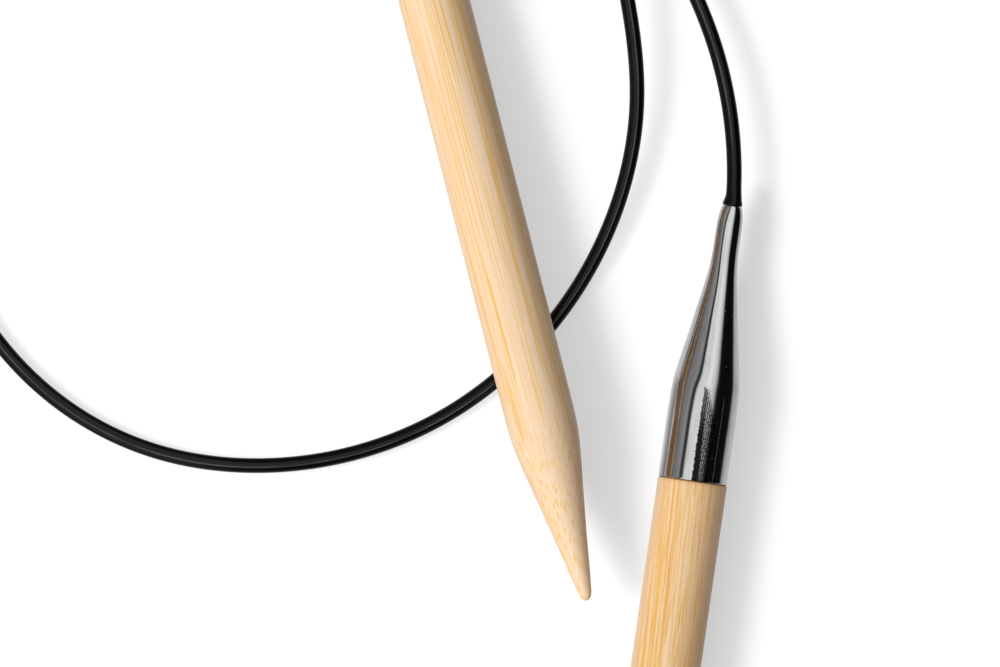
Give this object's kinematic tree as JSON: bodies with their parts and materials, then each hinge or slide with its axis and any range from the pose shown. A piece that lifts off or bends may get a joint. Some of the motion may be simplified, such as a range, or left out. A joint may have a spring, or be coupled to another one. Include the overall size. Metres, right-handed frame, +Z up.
{
  "type": "circular knitting needle",
  "caption": "Two pointed bamboo needle tips in bottle-shaped chromed ferrules, joined by one looped black nylon cord that swivels at both ends.",
  "frame": {"origin": "on the surface that the needle lies on, under the middle of the box around the two rigid tips", "axes": "+Y along the length of the laid-out tips, from their points towards their ferrules; +X towards the tip that lies flat; +Z up from the surface"},
  "size_m": [0.1188, 0.2567, 0.0126],
  "materials": {
    "bamboo": "fine-sanded bamboo with a thin satin lacquer",
    "chromed_brass": "polished chrome plating",
    "black_nylon": "smooth glossy extruded nylon",
    "brass": "turned, unplated",
    "steel": "turned steel"
  },
  "bodies": {
    "cord_set": {"cord": "black_nylon", "cord_end_left": "black_nylon", "cord_end_right": "black_nylon", "swivel_bead_left": "steel", "swivel_bead_right": "steel", "thrust_washer_left": "brass", "thrust_washer_right": "brass"},
    "left_tip": {"ferrule_left": "chromed_brass", "bamboo_tip_left": "bamboo"},
    "right_tip": {"ferrule_right": "chromed_brass", "bamboo_tip_right": "bamboo"}
  },
  "joints": [
    {"name": "left_swivel", "type": "hinge", "parent": "cord_set", "child": "left_tip", "pos_m": [-0.02778, 0.10865, 0.00411], "axis": [0.2467, -0.9686, 0.0311], "continuous": true},
    {"name": "right_swivel", "type": "hinge", "parent": "cord_set", "child": "right_tip", "pos_m": [0.02763, 0.02956, 0.005], "axis": [-0.1429, -0.9897, 0], "continuous": true}
  ]
}
